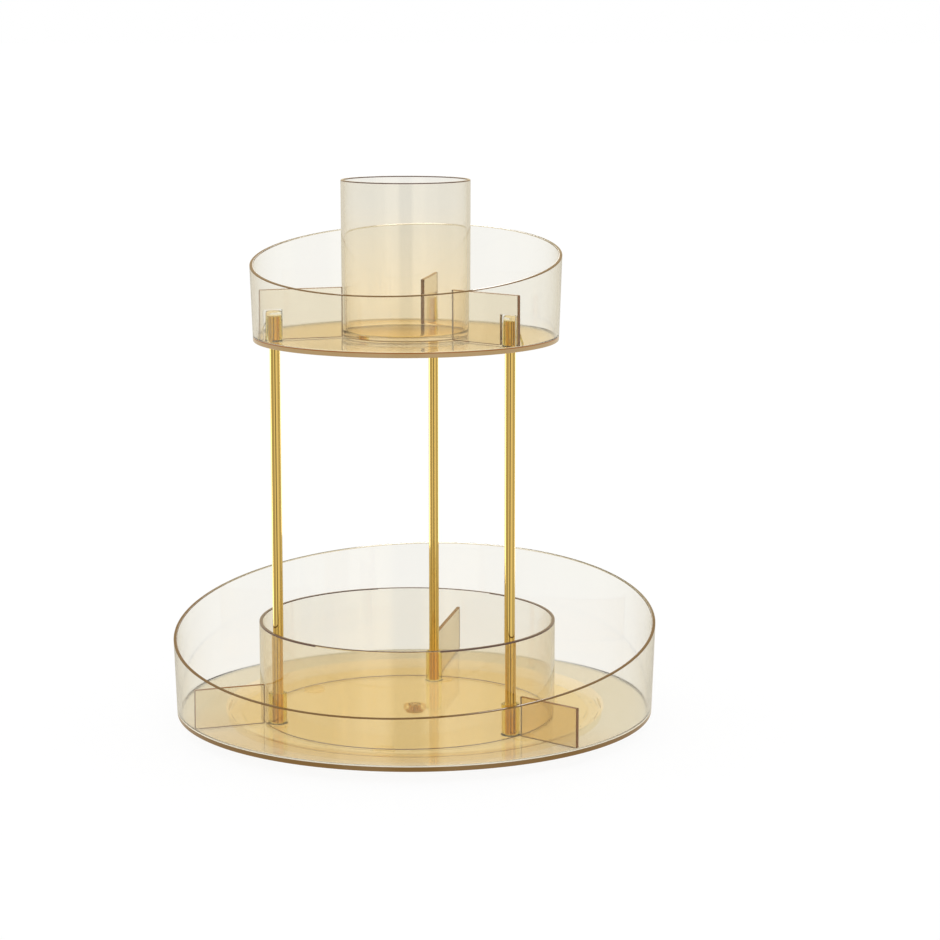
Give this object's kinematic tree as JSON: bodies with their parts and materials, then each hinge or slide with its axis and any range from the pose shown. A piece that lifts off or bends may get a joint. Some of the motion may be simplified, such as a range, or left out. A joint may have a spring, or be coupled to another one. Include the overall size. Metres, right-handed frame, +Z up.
{
  "type": "two-tier lazy susan turntable",
  "caption": "Two-tier rotating countertop organiser: round clear trays with slanted rims on a ball-bearing base, joined by metal rods, with a lift-out cup, ring and dividers.",
  "frame": {"origin": "on the table, under the turntable's pivot, which is the lower tray's centre", "axes": "+Z up along the turning axis, +Y towards the high back of the slanted rims, +X to the right seen from the low front"},
  "size_m": [0.2836, 0.2835, 0.3197],
  "materials": {
    "tray_plastic": "clear amber polystyrene, polished",
    "insert_plastic": "clear amber polystyrene, polished",
    "base_plastic": "clear amber polystyrene, polished",
    "gold_tube": "polished gold plating on metal tube",
    "pivot_steel": "bright zinc-plated",
    "foot_rubber": "soft translucent rubber, matt"
  },
  "bodies": {
    "base": {"turntable_base": "base_plastic", "rubber_foot_1": "foot_rubber", "rubber_foot_2": "foot_rubber", "rubber_foot_3": "foot_rubber", "rubber_foot_4": "foot_rubber", "rubber_foot_5": "foot_rubber", "rubber_foot_6": "foot_rubber"},
    "ball_race": {"ball_cage": "base_plastic", "bearing_ball_1": "base_plastic", "bearing_ball_2": "base_plastic", "bearing_ball_3": "base_plastic", "bearing_ball_4": "base_plastic", "bearing_ball_5": "base_plastic", "bearing_ball_6": "base_plastic", "bearing_ball_7": "base_plastic", "bearing_ball_8": "base_plastic", "bearing_ball_9": "base_plastic", "bearing_ball_10": "base_plastic", "bearing_ball_11": "base_plastic", "bearing_ball_12": "base_plastic"},
    "turntable": {"lower_tray": "tray_plastic", "upper_tray": "tray_plastic", "support_rod_back": "gold_tube", "support_rod_left": "gold_tube", "support_rod_right": "gold_tube", "pivot_washer": "pivot_steel", "pivot_screw": "pivot_steel"},
    "ring": {"inner_ring": "insert_plastic"},
    "cup": {"brush_cup": "insert_plastic"},
    "lower_divider_back": {"lower_divider_back": "insert_plastic"},
    "lower_divider_left": {"lower_divider_left": "insert_plastic"},
    "lower_divider_right": {"lower_divider_right": "insert_plastic"},
    "upper_divider_back": {"upper_divider_back": "insert_plastic"},
    "upper_divider_left": {"upper_divider_left": "insert_plastic"},
    "upper_divider_right": {"upper_divider_right": "insert_plastic"}
  },
  "joints": [
    {"name": "turntable_spin", "type": "hinge", "parent": "base", "child": "turntable", "pos_m": [0, 0, 0], "axis": [0, 0, 1], "continuous": true},
    {"name": "race_spin", "type": "hinge", "parent": "base", "child": "ball_race", "pos_m": [0, 0, 0], "axis": [0, 0, 1], "continuous": true},
    {"name": "ring_lift", "type": "slide", "parent": "turntable", "child": "ring", "axis": [0, 0, 1], "range_m": [0, 0.15]},
    {"name": "cup_lift", "type": "slide", "parent": "turntable", "child": "cup", "axis": [0, 0, 1], "range_m": [0, 0.12]},
    {"name": "lower_divider_back_lift", "type": "slide", "parent": "turntable", "child": "lower_divider_back", "axis": [0, 0, 1], "range_m": [0, 0.08]},
    {"name": "lower_divider_left_lift", "type": "slide", "parent": "turntable", "child": "lower_divider_left", "axis": [0, 0, 1], "range_m": [0, 0.08]},
    {"name": "lower_divider_right_lift", "type": "slide", "parent": "turntable", "child": "lower_divider_right", "axis": [0, 0, 1], "range_m": [0, 0.08]},
    {"name": "upper_divider_back_lift", "type": "slide", "parent": "turntable", "child": "upper_divider_back", "axis": [0, 0, 1], "range_m": [0, 0.06]},
    {"name": "upper_divider_left_lift", "type": "slide", "parent": "turntable", "child": "upper_divider_left", "axis": [0, 0, 1], "range_m": [0, 0.06]},
    {"name": "upper_divider_right_lift", "type": "slide", "parent": "turntable", "child": "upper_divider_right", "axis": [0, 0, 1], "range_m": [0, 0.06]}
  ],
  "couplings": [
    {"joint": "race_spin", "follows": "turntable_spin", "ratio": 0.5}
  ]
}
